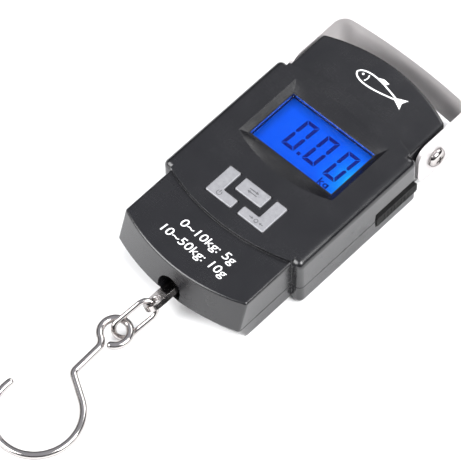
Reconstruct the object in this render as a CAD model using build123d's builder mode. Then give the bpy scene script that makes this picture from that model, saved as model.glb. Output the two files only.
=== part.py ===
"""Portable digital fish scale with a chrome bail, a retractable tape and a hook on a chain link.

Frame: X to the right of the display, Y towards the bail, Z out of the display face.
The scale lies on its back; the origin is on the flat back face, in the middle of the housing.
"""
import os
from math import asin, atan2, cos, degrees, radians, sin, sqrt, tan

from build123d import *

os.makedirs("parts", exist_ok=True)

# ---------------------------------------------------------------- housing
body_depth = 22.5            # back face to display face
seam_z = 9.4                # parting plane between the two shells
wall = 2.0
wide_half = 30.0             # half width of the middle section
wide_low, wide_high = -24.5, 31.0
end_half = 26.4              # half width of the narrower top and bottom sections
top_face_z, low_face_z = 21.6, 21.2
end_back_z = 2.2             # the end sections stand back from the table
top_corner_y, top_crown_y = 47.8, 53.7
low_corner_y, low_crown_y = -45.0, -50.5          # at the face
skirt_corner_y, skirt_crown_y = -49.0, -53.8      # at the seam
heel_corner_y, heel_crown_y = -45.4, -50.0        # at the back of the bottom section
groove_high, groove_deep = 0.35, 0.35             # shadow gap along the seam
band_low_y, band_high_y = -29.1, 35.5             # crowns of the raised middle band
corner_r = 2.0
upright_r, rim_r = 1.2, 1.0                       # rounded corners and rims of the end sections

# ---------------------------------------------------------------- display and keys
window_half, window_low, window_high = 17.7, 3.4, 24.1
recess_half = 20.3
recess_low, recess_low_crown = 1.0, -3.2
recess_high, recess_high_crown = 27.8, 30.2
recess_floor_z = 20.8
frame_low_z = 18.2            # underside of the frame round the window
lens_thick = 1.2
key_gap = 0.25
key_rise = 0.4
key_travel = 0.5
key_half, key_low, key_high = 12.45, -23.0, -11.1
key_leg, key_foot = 4.7, 3.6
key_foot_end = 1.4
mid_key = (11.1, 5.45)
mid_key_y = -13.9
board_low_z, board_thick = 13.4, 1.2
board_top_z = board_low_z + board_thick
switch_xy = {"left": (-9.6, -20.0), "centre": (0.0, mid_key_y), "right": (9.6, -20.0)}

# ---------------------------------------------------------------- load train
pivot_y, pivot_z = 41.0, 12.5
shaft_r = 2.0
run_fit = 0.06               # radial clearance of a part that turns on a pin
axis_z = 10.5                # height of the pull line
cell_half, cell_high, cell_low = 11.0, -24.5, -44.5
cell_back_z, cell_front_z = 5.5, 15.5
stem_r = 2.5
lug_y = -59.5                # centre of the hole in the eye bolt
lug_thick, lug_r, lug_hole_r = 1.8, 3.8, 2.3
lug_turn = 50.0              # the free eye bolt lies turned about the pull line, degrees
end_hole_r, end_hole_z = 4.7, 11.3

# ---------------------------------------------------------------- bail
bail_half, bail_thick, bail_width = 28.6, 1.4, 17.0
bail_crown_y, bail_shoulder_y, bail_corner_r = 61.15, 59.5, 6.0
bail_foot_half, bail_foot_r = 8.0, 5.0            # the foot round the pivot

# ---------------------------------------------------------------- link and hook
link_r, link_len, link_half = 0.9, 17.5, 3.4      # wire radius, outer length, leg offset
link_roll = -48.0                                  # about its own length, degrees
hook_r = 1.3
eye_r = 4.9                                        # wire centreline of the hook's eye
eye_centre = Vector(-4.03, -73.68, 5.41)
neck_r = 4.0
throat_r, throat_turn = 2.4, 60.0
bowl_x, bowl_y, bowl_r = 1.7, -36.8, 14.5          # from the eye's centre
hook_tip_angle = 171.0

# ---------------------------------------------------------------- batteries and tape
cell_r, cell_len = 5.25, 44.5
cell_x = {"left": -22.2, "right": -11.5}
cell_z = 7.5
bay_low, bay_high = wide_low + wall, 25.3
bay_left, bay_right = -28.0, -5.9
bay_inner = 24.3             # the bay's low end wall stays inside the bottom section
door_left, door_right = -27.0, -5.9
reel_x, coil_r = 17.5, 8.3
blade_y, blade_thick = 28.4, 0.25
blade_low_z, blade_high_z = 6.8, 11.5
reel_y = blade_y - 0.05 - coil_r
tab_low_y, tab_high_y, tab_low_z, tab_high_z = 11.3, 30.5, 6.1, 10.3
slot_low_y, slot_high_y, slot_low_z, slot_high_z = 11.0, 30.8, 5.8, 12.8

shell_screw_xy = [(-21.5, 34.5), (21.5, 34.5), (-21.2, -42.0), (21.2, -42.0)]
board_screw_xy = [(-15.0, 31.0), (15.0, 31.0), (20.0, -18.5)]


def barrel(half, low, low_crown, high, high_crown, mode=Mode.ADD):
    """Closed outline with straight sides and crowned ends, in the current sketch."""
    with BuildLine() as outline:
        Line((-half, low), (-half, high))
        ThreePointArc((-half, high), (0, high_crown), (half, high))
        Line((half, high), (half, low))
        ThreePointArc((half, low), (0, low_crown), (-half, low))
    make_face(outline.edges(), mode=mode)


def end_uprights(builder):
    """The corner edges of the top and bottom sections, from the back to the face."""
    return builder.edges().filter_by(
        lambda e: abs(abs(e.center().X) - end_half) < 0.05 and e.length > 5
        and not wide_low - 1 < e.center().Y < wide_high + 1
        and abs((e @ 0).Z - (e @ 1).Z) > 5)


def save(builder, name):
    """Label one finished piece and write it."""
    builder.part.label = name
    export_step(builder.part, f"parts/{name}.step")


# ================================================================ front shell
with BuildPart() as front_shell:
    with BuildSketch(Plane.XY.offset(seam_z)):                      # middle section
        with Locations((0, (wide_low + wide_high) / 2)):
            RectangleRounded(2 * wide_half, wide_high - wide_low, corner_r)
    extrude(amount=body_depth - seam_z)
    fillet(front_shell.faces().sort_by(Axis.Z)[-1].edges().filter_by(Axis.Y), radius=2.4)
    with BuildSketch(Plane.XY.offset(seam_z)):                      # crowned raised band
        barrel(end_half - 0.1, wide_low, band_low_y, wide_high + 0.2, band_high_y)
    extrude(amount=body_depth - seam_z)
    with BuildSketch(Plane.XY.offset(seam_z)):                      # top section
        barrel(end_half, 0, -1, top_corner_y, top_crown_y)
    extrude(amount=top_face_z - seam_z)
    with BuildSketch(Plane.XY.offset(seam_z)):                      # bottom section leans out
        barrel(end_half, skirt_corner_y, skirt_crown_y, 0, 1)
    with BuildSketch(Plane.XY.offset(low_face_z)):
        barrel(end_half, low_corner_y, low_crown_y, 0, 1)
    loft()
    fillet(end_uprights(front_shell), radius=upright_r)
    outer_rims = front_shell.edges().filter_by(
        lambda e: abs(e.center().Z - top_face_z) < 0.05 and e.center().Y > wide_high + 1
        or abs(e.center().Z - low_face_z) < 0.05 and e.center().Y < wide_low - 1
    ).filter_by(lambda e: abs(e.center().X) > end_half - 2 * upright_r
                or e.center().Y > top_corner_y or e.center().Y < low_corner_y)
    fillet(outer_rims, radius=rim_r)
    # inside
    with BuildSketch(Plane.XY.offset(seam_z)):
        with Locations((0, (wide_low + wide_high) / 2)):
            Rectangle(2 * (wide_half - wall), wide_high - wide_low - 2 * wall)
    extrude(amount=body_depth - wall - seam_z, mode=Mode.SUBTRACT)
    with BuildSketch(Plane.XY.offset(seam_z)):
        barrel(end_half - wall, low_corner_y + wall, low_crown_y + wall,
               top_corner_y - wall, top_crown_y - wall)
    extrude(amount=low_face_z - wall - seam_z, mode=Mode.SUBTRACT)
    with BuildSketch(Plane.XY.offset(seam_z)):
        barrel(end_half - wall, wide_low, band_low_y + wall, wide_high, band_high_y - wall)
    extrude(amount=body_depth - wall - seam_z, mode=Mode.SUBTRACT)
    # frame under the display recess
    with BuildSketch(Plane.XY.offset(frame_low_z)):
        with Locations((0, (recess_low + recess_high) / 2)):
            Rectangle(2 * recess_half + 4, recess_high - recess_low + 4)
    extrude(amount=recess_floor_z + 0.1 - frame_low_z)
    with BuildSketch(Plane.XY.offset(recess_floor_z)):
        with Locations((0, (window_low + window_high) / 2)):
            Rectangle(2 * window_half + 0.8, window_high - window_low + 0.8)
    with BuildSketch(Plane.XY.offset(body_depth)):
        barrel(recess_half, recess_low, recess_low_crown, recess_high, recess_high_crown)
    loft(mode=Mode.SUBTRACT)
    with BuildSketch(Plane.XY.offset(recess_floor_z - 3)):
        with Locations((0, (window_low + window_high) / 2)):
            Rectangle(2 * window_half, window_high - window_low)
    extrude(amount=4, mode=Mode.SUBTRACT)
    # key openings
    with BuildSketch(Plane.XY.offset(body_depth - wall - 0.1)) as key_holes:
        for side in (-1, 1):
            with BuildLine():
                Polyline((side * (key_half + key_gap), key_low - key_gap),
                         (side * (key_half + key_gap), key_high + key_gap),
                         (side * (key_half - key_leg - key_gap), key_high + key_gap),
                         (side * (key_half - key_leg - key_gap), key_low + key_foot + key_gap),
                         (side * (key_foot_end - key_gap), key_low + key_foot + key_gap),
                         (side * (key_foot_end - key_gap), key_low - key_gap), close=True)
            make_face()
        with Locations((0, mid_key_y)):
            Rectangle(mid_key[0] + 2 * key_gap, mid_key[1] + 2 * key_gap)
    extrude(amount=wall + 0.2, mode=Mode.SUBTRACT)
    # screw posts
    with BuildSketch(Plane.XY.offset(seam_z)):
        with Locations(*shell_screw_xy):
            Circle(3.0)
    extrude(amount=low_face_z - 1.0 - seam_z)
    with BuildSketch(Plane.XY.offset(board_top_z)):
        with Locations(*board_screw_xy):
            Circle(2.2)
    extrude(amount=body_depth - wall + 0.2 - board_top_z)
    with Locations(*[(x, y, seam_z) for x, y in shell_screw_xy]):
        Cylinder(1.1, 7.5, align=(Align.CENTER, Align.CENTER, Align.MIN), mode=Mode.SUBTRACT)
    with Locations(*[(x, y, board_top_z) for x, y in board_screw_xy]):
        Cylinder(0.9, 4.0, align=(Align.CENTER, Align.CENTER, Align.MIN), mode=Mode.SUBTRACT)
    # notches for the cross shaft, hole for the eye bolt, slot for the tape's pull tab
    with BuildSketch(Plane.YZ.offset(-end_half - 1)):
        with Locations((pivot_y, pivot_z)):
            Circle(shaft_r + 0.05)
        with Locations((pivot_y, (seam_z + pivot_z) / 2)):
            Rectangle(2 * shaft_r + 0.1, pivot_z - seam_z)
    extrude(amount=2 * end_half + 2, mode=Mode.SUBTRACT)
    with BuildSketch(Plane.XZ.offset(-low_corner_y)):
        with Locations((0, end_hole_z)):
            Circle(end_hole_r)
    extrude(amount=12, mode=Mode.SUBTRACT)
    with BuildSketch(Plane.YZ.offset(wide_half - wall - 0.5)):
        with Locations(((slot_low_y + slot_high_y) / 2, (slot_low_z + slot_high_z) / 2)):
            Rectangle(slot_high_y - slot_low_y, slot_high_z - slot_low_z)
    extrude(amount=wall + 1, mode=Mode.SUBTRACT)
save(front_shell, "front_shell")

# ================================================================ back shell
with BuildPart() as back_shell:
    with BuildSketch(Plane.XY):
        with Locations((0, (wide_low + wide_high) / 2)):
            RectangleRounded(2 * wide_half, wide_high - wide_low, corner_r)
    extrude(amount=seam_z)
    fillet(back_shell.faces().sort_by(Axis.Z)[0].edges().filter_by(Axis.Y), radius=2.5)
    with BuildSketch(Plane.XY.offset(end_back_z)):                  # top section
        barrel(end_half, 0, -1, top_corner_y, top_crown_y)
    extrude(amount=seam_z - end_back_z)
    with BuildSketch(Plane.XY.offset(end_back_z)):                  # bottom section leans in
        barrel(end_half, heel_corner_y, heel_crown_y, 0, 1)
    with BuildSketch(Plane.XY.offset(seam_z)):
        barrel(end_half, skirt_corner_y, skirt_crown_y, 0, 1)
    loft()
    fillet(end_uprights(back_shell), radius=upright_r)
    back_rims = back_shell.edges().filter_by(
        lambda e: abs(e.center().Z - end_back_z) < 0.05
        and (e.center().Y > wide_high + 1 or e.center().Y < wide_low - 1)
        and (abs(e.center().X) > end_half - 2 * upright_r
             or e.center().Y > top_corner_y or e.center().Y < heel_corner_y))
    fillet(back_rims, radius=rim_r)
    # inside
    with BuildSketch(Plane.XY.offset(wall)):
        with Locations((0, (wide_low + wide_high) / 2)):
            Rectangle(2 * (wide_half - wall), wide_high - wide_low - 2 * wall)
    extrude(amount=seam_z, mode=Mode.SUBTRACT)
    with BuildSketch(Plane.XY.offset(end_back_z + wall)):
        barrel(end_half - wall, heel_corner_y + wall, heel_crown_y + wall,
               top_corner_y - wall, top_crown_y - wall)
    extrude(amount=seam_z, mode=Mode.SUBTRACT)
    # shadow gap under the seam
    with BuildSketch(Plane.XY.offset(seam_z - groove_high)):
        with Locations((0, (wide_low + wide_high) / 2)):
            Rectangle(2 * wide_half, wide_high - wide_low)
        barrel(end_half + 0.1, skirt_corner_y, skirt_crown_y - 0.1, top_corner_y, top_crown_y + 0.1)
        with Locations((0, (wide_low + wide_high) / 2)):
            RectangleRounded(2 * (wide_half - groove_deep), wide_high - wide_low - 2 * groove_deep,
                             corner_r - groove_deep, mode=Mode.SUBTRACT)
        barrel(end_half - groove_deep, skirt_corner_y + groove_deep, skirt_crown_y + groove_deep,
               top_corner_y - groove_deep, top_crown_y - groove_deep, mode=Mode.SUBTRACT)
    extrude(amount=groove_high, mode=Mode.SUBTRACT)
    # floor step between the middle section and the raised end sections
    for low, high in ((wide_low, wide_low + wall), (wide_high - wall, wide_high)):
        with BuildSketch(Plane.XY.offset(wall - 0.5)):
            with Locations((0, (low + high) / 2)):
                Rectangle(2 * (end_half - wall), high - low)
        extrude(amount=end_back_z + 0.5)
    # battery bay walls
    with BuildSketch(Plane.XY.offset(wall - 0.5)):
        with Locations(((bay_right + 0.45), (bay_low + bay_high) / 2)):
            Rectangle(0.9, bay_high - bay_low)
        with Locations(((bay_left + bay_right) / 2 + 0.45, bay_high + 0.5)):
            Rectangle(bay_right - bay_left + 0.9, 1.0)
        with Locations(((bay_right + 0.9 - bay_inner) / 2, bay_low - 0.75)):
            Rectangle(bay_right + 0.9 + bay_inner, 1.5)
    extrude(amount=10.8)
    # battery door opening, open towards the hook end, with a groove along both sides
    with BuildSketch(Plane.XY):
        with Locations(((door_left + door_right) / 2, (wide_low + bay_high) / 2 - 1)):
            Rectangle(door_right - door_left - 1.0, bay_high - wide_low + 2)
    extrude(amount=end_back_z, mode=Mode.SUBTRACT)
    with BuildSketch(Plane.XY.offset(0.95)):
        with Locations(((door_left + door_right) / 2, (wide_low + bay_high) / 2 - 1)):
            Rectangle(door_right - door_left + 1.0, bay_high - wide_low + 2)
    extrude(amount=end_back_z - 0.95, mode=Mode.SUBTRACT)
    # notches for the battery leads
    with BuildSketch(Plane.XZ.offset(-bay_high - 1.5)):
        with Locations(*[(x, 12.0) for x in cell_x.values()]):
            Rectangle(2.2, 3.0)
    extrude(amount=2.0, mode=Mode.SUBTRACT)
    # screw posts with sunk heads
    with BuildSketch(Plane.XY.offset(end_back_z)):
        with Locations(*shell_screw_xy):
            Circle(3.4)
    extrude(amount=seam_z - end_back_z)
    with Locations(*[(x, y, end_back_z) for x, y in shell_screw_xy]):
        Cylinder(2.5, 3.5, align=(Align.CENTER, Align.CENTER, Align.MIN), mode=Mode.SUBTRACT)
        Cylinder(1.3, 12, align=(Align.CENTER, Align.CENTER, Align.MIN), mode=Mode.SUBTRACT)
    # socket for the tape reel's axle
    with Locations((reel_x, reel_y, wall - 0.2)):
        Cylinder(2.8, 1.4, align=(Align.CENTER, Align.CENTER, Align.MIN))
        Cylinder(1.5, 3.0, align=(Align.CENTER, Align.CENTER, Align.MIN), mode=Mode.SUBTRACT)
    with BuildSketch(Plane.XZ.offset(-low_corner_y)):
        with Locations((0, end_hole_z)):
            Circle(end_hole_r)
    extrude(amount=12, mode=Mode.SUBTRACT)
    with BuildSketch(Plane.YZ.offset(wide_half - wall - 0.5)):
        with Locations(((slot_low_y + slot_high_y) / 2, (slot_low_z + slot_high_z) / 2)):
            Rectangle(slot_high_y - slot_low_y, slot_high_z - slot_low_z)
    extrude(amount=wall + 1, mode=Mode.SUBTRACT)
save(back_shell, "back_shell")

# ================================================================ battery door
door_low, door_high = wide_low, bay_high - 0.2
with BuildPart() as battery_door:
    with BuildSketch(Plane.XY):
        with Locations(((door_left + door_right) / 2, (door_low + door_high) / 2)):
            Rectangle(door_right - door_left - 1.3, door_high - door_low)
    extrude(amount=end_back_z - 0.1)
    with BuildSketch(Plane.XY.offset(1.05)):
        with Locations(((door_left + door_right) / 2, (door_low + door_high) / 2)):
            Rectangle(door_right - door_left + 0.7, door_high - door_low)
    extrude(amount=end_back_z - 0.1 - 1.05)
    for i in range(5):                                              # thumb grip
        with BuildSketch(Plane.XY):
            with Locations(((door_left + door_right) / 2, door_low + 5 + 1.6 * i)):
                SlotOverall(11 - 1.2 * i, 0.8)
        extrude(amount=0.4, mode=Mode.SUBTRACT)
save(battery_door, "battery_door")

# ================================================================ display stack
with BuildPart() as display_window:
    with BuildSketch(Plane.XY.offset(recess_floor_z - lens_thick)):
        with Locations((0, (window_low + window_high) / 2)):
            RectangleRounded(2 * window_half - 0.1, window_high - window_low - 0.1, 0.3)
    extrude(amount=lens_thick - 0.05)
save(display_window, "display_window")

glass_low, glass_high, glass_z = -1.6, 26.2, 16.4
with BuildPart() as lcd_glass:
    with BuildSketch(Plane.XY.offset(glass_z)):
        with Locations((0, (glass_low + glass_high) / 2)):
            Rectangle(40, glass_high - glass_low)
    extrude(amount=frame_low_z - 0.1 - glass_z)
save(lcd_glass, "lcd_glass")

with BuildPart() as backlight:
    with BuildSketch(Plane.XY.offset(board_top_z)):
        with Locations((0, 13.2)):
            RectangleRounded(40, 26, 0.6)
    extrude(amount=glass_z - board_top_z)
save(backlight, "backlight")

with BuildPart() as contact_strip:
    with BuildSketch(Plane.XY.offset(board_top_z)):
        with Locations((0, -0.75)):
            Rectangle(36, 1.3)
    extrude(amount=glass_z - board_top_z)
save(contact_strip, "contact_strip")

# ================================================================ main board
with BuildPart() as main_board:
    with BuildSketch(Plane.XY.offset(board_low_z)):
        with Locations((0, 2.5)):
            Rectangle(52, 50)
        with Locations((0, 25)):
            Rectangle(35, 17)
    extrude(amount=board_thick)
    with Locations(*[(x, y, board_low_z) for x, y in board_screw_xy]):
        Cylinder(1.15, 3 * board_thick, mode=Mode.SUBTRACT)
save(main_board, "main_board")

with BuildPart() as control_chip:
    with Locations((16.0, -7.0, board_low_z)):
        Cylinder(4.6, 1.4, align=(Align.CENTER, Align.CENTER, Align.MAX))
    fillet(control_chip.edges().group_by(Axis.Z)[0], radius=1.0)
save(control_chip, "control_chip")

with BuildPart() as board_screws:
    for x, y in board_screw_xy:
        with Locations((x, y, board_low_z)):
            Cylinder(1.9, 1.1, align=(Align.CENTER, Align.CENTER, Align.MAX))
            Cylinder(0.9, 5.0, align=(Align.CENTER, Align.CENTER, Align.MIN))
save(board_screws, "board_screws")

with BuildPart() as shell_screws:
    for x, y in shell_screw_xy:
        with Locations((x, y, end_back_z + 3.5)):
            Cylinder(2.2, 1.7, align=(Align.CENTER, Align.CENTER, Align.MAX))
            Cylinder(1.1, 11.0, align=(Align.CENTER, Align.CENTER, Align.MIN))
    for x, y in shell_screw_xy:
        with Locations((x, y, end_back_z + 1.8)):
            Box(2.6, 0.6, 1.0, mode=Mode.SUBTRACT)
            Box(0.6, 2.6, 1.0, mode=Mode.SUBTRACT)
save(shell_screws, "shell_screws")

# ================================================================ keys and their switches
switch_size, switch_high_z, plunger_r = 6.0, 17.6, 1.7
flange_low_z, flange_high_z = 19.6, body_depth - wall - 0.1
stem_low_z = 18.4

with BuildPart() as left_button:
    with BuildSketch(Plane.XY.offset(flange_high_z)) as left_outline:
        with BuildLine():
            Polyline((-key_half, key_low), (-key_half, key_high), (-key_half + key_leg, key_high),
                     (-key_half + key_leg, key_low + key_foot),
                     (-key_foot_end, key_low + key_foot), (-key_foot_end, key_low), close=True)
        make_face()
        fillet(left_outline.vertices(), radius=0.5)
    extrude(amount=body_depth + key_rise - flange_high_z)
    fillet(left_button.faces().sort_by(Axis.Z)[-1].edges(), radius=0.35)
    with BuildSketch(Plane.XY.offset(flange_low_z)):
        with BuildLine():
            Polyline((-key_half - 0.6, key_low - 0.4), (-key_half - 0.6, key_high + 0.6),
                     (-key_half + key_leg + 0.3, key_high + 0.6),
                     (-key_half + key_leg + 0.3, key_low + key_foot + 0.6),
                     (-key_foot_end + 0.5, key_low + key_foot + 0.6),
                     (-key_foot_end + 0.5, key_low - 0.4), close=True)
        make_face()
    extrude(amount=flange_high_z - flange_low_z)
    with BuildSketch(Plane.XY.offset(stem_low_z)):
        with Locations(switch_xy["left"]):
            Circle(1.6)
    extrude(amount=flange_low_z - stem_low_z)
save(left_button, "left_button")

with BuildPart() as right_button:
    add(left_button.part.mirror(Plane.YZ))
save(right_button, "right_button")

with BuildPart() as centre_button:
    with BuildSketch(Plane.XY.offset(flange_high_z)):
        with Locations((0, mid_key_y)):
            RectangleRounded(*mid_key, 0.5)
    extrude(amount=body_depth + key_rise - flange_high_z)
    fillet(centre_button.faces().sort_by(Axis.Z)[-1].edges(), radius=0.35)
    with BuildSketch(Plane.XY.offset(flange_low_z)):
        with Locations((0, mid_key_y)):
            Rectangle(mid_key[0] + 0.9, mid_key[1] + 1.2)
    extrude(amount=flange_high_z - flange_low_z)
    with BuildSketch(Plane.XY.offset(stem_low_z)):
        with Locations(switch_xy["centre"]):
            Circle(1.6)
    extrude(amount=flange_low_z - stem_low_z)
save(centre_button, "centre_button")

for name, (x, y) in switch_xy.items():
    with BuildPart() as switch_body:
        with BuildSketch(Plane.XY.offset(board_top_z)):
            with Locations((x, y)):
                Rectangle(switch_size, switch_size)
        extrude(amount=switch_high_z - board_top_z)
        with Locations((x, y, board_top_z + 0.5)):
            Cylinder(plunger_r + 0.08, 4, align=(Align.CENTER, Align.CENTER, Align.MIN),
                     mode=Mode.SUBTRACT)
    save(switch_body, f"{name}_switch")
    with BuildPart() as plunger:
        with Locations((x, y, board_top_z + 0.5 + key_travel + 0.1)):
            Cylinder(plunger_r, stem_low_z - board_top_z - 0.6 - key_travel,
                     align=(Align.CENTER, Align.CENTER, Align.MIN))
    save(plunger, f"{name}_plunger")

# ================================================================ batteries and contacts
contact_thick, spring_len, nipple_len = 0.4, 2.5, 1.0
spring_wire_r = 0.3
for name, x in cell_x.items():
    plus = 1 if name == "left" else -1                              # side of the positive end
    plus_y = bay_high - contact_thick if plus > 0 else bay_low + contact_thick
    can = cell_len - nipple_len
    with BuildPart() as battery:
        with BuildSketch(Plane.XZ.offset(-(plus_y - plus * nipple_len))):
            with Locations((x, cell_z)):
                Circle(cell_r)
        extrude(amount=plus * can)
        fillet(battery.edges(), radius=0.4)
        with BuildSketch(Plane.XZ.offset(-plus_y)):
            with Locations((x, cell_z)):
                Circle(1.9)
        extrude(amount=plus * nipple_len)
    save(battery, f"{name}_battery")

with BuildPart() as contact_plates:
    with BuildSketch(Plane.XZ.offset(-bay_high)):                   # two single plates
        with Locations(*[(x, cell_z + 0.4) for x in cell_x.values()]):
            RectangleRounded(8.5, 9.0, 0.8)
    extrude(amount=contact_thick)
    with BuildSketch(Plane.XZ.offset(-bay_low - contact_thick)):    # bridge across both cells
        with Locations((sum(cell_x.values()) / 2, cell_z + 0.4)):
            RectangleRounded(19.5, 9.0, 0.8)
    extrude(amount=contact_thick)
save(contact_plates, "contact_plates")

with BuildPart() as contact_springs:
    for x, seat_y, into in ((cell_x["left"], bay_low + contact_thick, 1),
                            (cell_x["right"], bay_high - contact_thick, -1)):
        with BuildLine() as coil:
            Helix(pitch=0.76, height=spring_len - 2 * spring_wire_r, radius=2.8,
                  center=(x, seat_y + into * spring_wire_r, cell_z), direction=(0, into, 0))
        with BuildSketch(Plane(origin=coil.line @ 0, z_dir=coil.line % 0)):
            Circle(spring_wire_r)
        sweep(path=coil.line)
save(contact_springs, "contact_springs")

with BuildPart() as battery_leads:
    for x in cell_x.values():
        with BuildLine() as lead:
            FilletPolyline((x, bay_high, 11.5), (x, bay_high + 1.8, 11.5),
                           (x, bay_high + 1.8, board_low_z), radius=0.9)
        with BuildSketch(Plane(origin=lead.line @ 0, z_dir=lead.line % 0)):
            Circle(0.45)
        sweep(path=lead.line)
save(battery_leads, "battery_leads")

# ================================================================ load train
with BuildPart() as pivot_shaft:
    shaft_half = bail_half + 0.15
    with BuildSketch(Plane.YZ.offset(-shaft_half)):
        with Locations((pivot_y, pivot_z)):
            Circle(shaft_r)
    extrude(amount=2 * shaft_half)
    for side in (-1, 1):
        with BuildSketch(Plane.YZ.offset(side * shaft_half)):
            with Locations((pivot_y, pivot_z)):
                Circle(1.1)
        extrude(amount=-side * 6, mode=Mode.SUBTRACT)
save(pivot_shaft, "pivot_shaft")

head_high, screw_head_r = 2.1, 3.5
with BuildPart() as pivot_screws:
    for side in (-1, 1):
        with BuildSketch(Plane.YZ.offset(side * shaft_half)):
            with Locations((pivot_y, pivot_z)):
                Circle(screw_head_r)
        extrude(amount=side * head_high)
    fillet(pivot_screws.faces().filter_by(Axis.X).sort_by(Axis.X)[0].edges(), radius=1.8)
    fillet(pivot_screws.faces().filter_by(Axis.X).sort_by(Axis.X)[-1].edges(), radius=1.8)
    for side in (-1, 1):
        with BuildSketch(Plane.YZ.offset(side * shaft_half)):
            with Locations((pivot_y, pivot_z)):
                Circle(1.1)
        extrude(amount=-side * 5)
        with BuildSketch(Plane.YZ.offset(side * (shaft_half + head_high - 0.9))):
            with Locations((pivot_y, pivot_z)):
                Rectangle(3.4, 0.7)
                Rectangle(0.7, 3.4)
        extrude(amount=side * 1.0, mode=Mode.SUBTRACT)
save(pivot_screws, "pivot_screws")

with BuildPart() as pivot_washers:
    for side in (-1, 1):
        with BuildSketch(Plane.YZ.offset(side * (end_half + 0.1))):
            with Locations((pivot_y, pivot_z)):
                Circle(3.8)
                Circle(shaft_r + 0.03, mode=Mode.SUBTRACT)
        extrude(amount=side * 0.6)
save(pivot_washers, "pivot_washers")

strap_thick, strap_half = 1.5, 4.5
strap_low_z = pivot_z - strap_thick / 2
load_bolt_z = 8.3
with BuildPart() as load_strap:
    with BuildSketch(Plane.XY.offset(strap_low_z)):
        with Locations((0, (cell_high + pivot_y) / 2)):
            Rectangle(2 * strap_half, pivot_y - cell_high)
    extrude(amount=strap_thick)
    with BuildSketch(Plane.YZ.offset(-strap_half)):                 # eye round the cross shaft
        with Locations((pivot_y, pivot_z)):
            Circle(3.6)
    extrude(amount=2 * strap_half)
    with BuildSketch(Plane.XZ.offset(-cell_high - strap_thick)):    # foot on the load cell
        with Locations((0, (cell_back_z + strap_low_z + strap_thick) / 2)):
            Rectangle(2 * strap_half, strap_low_z + strap_thick - cell_back_z)
    extrude(amount=strap_thick)
    with BuildSketch(Plane.YZ.offset(-strap_half - 1)):
        with Locations((pivot_y, pivot_z)):
            Circle(shaft_r + 0.03)
    extrude(amount=2 * strap_half + 2, mode=Mode.SUBTRACT)
    with BuildSketch(Plane.XZ.offset(-cell_high - 3)):
        with Locations((0, load_bolt_z)):
            Circle(2.1)
    extrude(amount=4, mode=Mode.SUBTRACT)
save(load_strap, "load_strap")

with BuildPart() as load_bolt:
    with BuildSketch(Plane.XZ.offset(-cell_high - strap_thick - 2.6)):
        with Locations((0, load_bolt_z)):
            RegularPolygon(3.2, 6)
    extrude(amount=2.6)
    with BuildSketch(Plane.XZ.offset(-cell_high - strap_thick)):
        with Locations((0, load_bolt_z)):
            Circle(2.0)
    extrude(amount=strap_thick + 4.5)
save(load_bolt, "load_bolt")

cell_leg, lower_slot = 4.5, 3.5
upper_slot_y = cell_high - cell_leg - 0.75
lower_slot_y = cell_low + cell_leg + lower_slot / 2
gauge_y = (upper_slot_y - 0.75 + lower_slot_y + lower_slot / 2) / 2
nut_high_y = lower_slot_y + lower_slot / 2 - 0.15
with BuildPart() as load_cell:
    with BuildSketch(Plane.XY.offset(cell_back_z)) as cell_outline:
        with Locations((0, (cell_high + cell_low) / 2)):
            RectangleRounded(2 * cell_half, cell_high - cell_low, 1.0)
        with Locations((-3.5, upper_slot_y)):                       # upper slot, open on the left
            Rectangle(16, 1.5, mode=Mode.SUBTRACT)
        with Locations((2.5, lower_slot_y)):                        # lower slot, open on the right
            Rectangle(18, lower_slot, mode=Mode.SUBTRACT)
        with Locations((0, gauge_y)):
            Circle(2.0, mode=Mode.SUBTRACT)
    extrude(amount=cell_front_z - cell_back_z)
    with BuildSketch(Plane.XZ.offset(-cell_high)):
        with Locations((0, load_bolt_z)):
            Circle(2.0)
    extrude(amount=5, mode=Mode.SUBTRACT)
    with BuildSketch(Plane.XZ.offset(-cell_low - 6)):
        with Locations((0, axis_z)):
            Circle(stem_r + run_fit)
    extrude(amount=7, mode=Mode.SUBTRACT)
save(load_cell, "load_cell")

with BuildPart() as strain_gauges:
    for z in (cell_front_z, cell_back_z - 0.15):
        with BuildSketch(Plane.XY.offset(z)):
            with Locations((-5.5, gauge_y), (5.5, gauge_y)):
                Rectangle(4.5, 2.8)
        extrude(amount=0.15)
save(strain_gauges, "strain_gauges")

lug_plane = Plane(origin=(0, lug_y, axis_z), x_dir=(0, 1, 0),
                  z_dir=(cos(radians(lug_turn)), 0, -sin(radians(lug_turn))))
with BuildPart() as eye_bolt:
    with BuildSketch(Plane.XZ.offset(-nut_high_y)):
        with Locations((0, axis_z)):
            Circle(stem_r)
    extrude(amount=11.5)
    with BuildSketch(lug_plane.offset(-lug_thick / 2)):             # flattened eye
        with Locations((6.5, 0)):
            Rectangle(13.0, 2 * lug_r)
        Circle(lug_r)
        Circle(lug_hole_r, mode=Mode.SUBTRACT)
    extrude(amount=lug_thick)
    hole_rims = eye_bolt.edges().filter_by(
        lambda e: e.geom_type == GeomType.CIRCLE and abs(e.radius - lug_hole_r) < 0.01)
    fillet(hole_rims, radius=0.35)
save(eye_bolt, "eye_bolt")

with BuildPart() as swivel_nut:
    with BuildSketch(Plane.XZ.offset(-nut_high_y)):
        with Locations((0, axis_z)):
            RegularPolygon(4.3, 6)
            Circle(stem_r, mode=Mode.SUBTRACT)
    extrude(amount=3.2)
save(swivel_nut, "swivel_nut")

with BuildPart() as gauge_cable:
    with BuildLine() as cable:
        FilletPolyline((cell_half, gauge_y, 11.5), (15.0, gauge_y, 11.5), (15.0, -19.0, 11.5),
                       (15.0, -19.0, board_low_z), radius=[2.2, 0.9])
    with BuildSketch(Plane(origin=cable.line @ 0, z_dir=cable.line % 0)):
        Circle(0.7)
    sweep(path=cable.line)
save(gauge_cable, "gauge_cable")

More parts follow.
